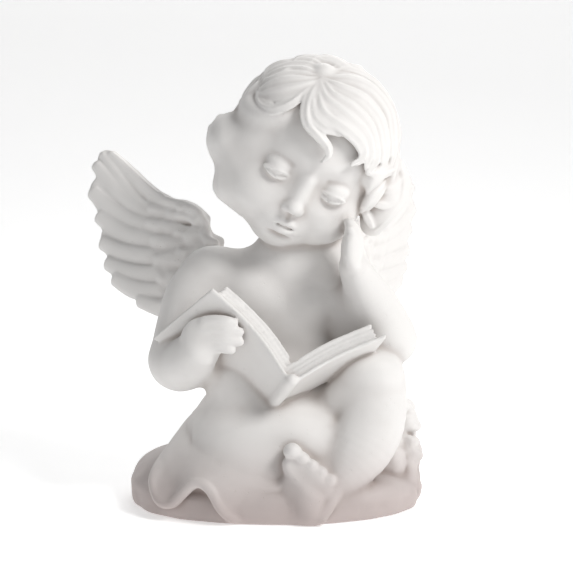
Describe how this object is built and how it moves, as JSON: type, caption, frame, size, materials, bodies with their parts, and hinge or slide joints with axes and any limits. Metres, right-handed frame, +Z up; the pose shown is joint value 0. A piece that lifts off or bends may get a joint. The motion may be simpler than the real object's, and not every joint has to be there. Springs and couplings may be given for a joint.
{
  "type": "cherub statue",
  "caption": "Seated winged cherub figurine on a low oval plinth, cast in one piece, reading an open book with its head leaning on one hand.",
  "frame": {"origin": "middle of the plinth's flat underside", "axes": "+Z up; the figure faces -Y; +X is the figure's own left-hand side"},
  "size_m": [0.0978, 0.0759, 0.1283],
  "materials": {
    "white_stone": "matte cast stone, fine grain"
  },
  "bodies": {
    "root": {"cherub": "white_stone"}
  },
  "joints": []
}
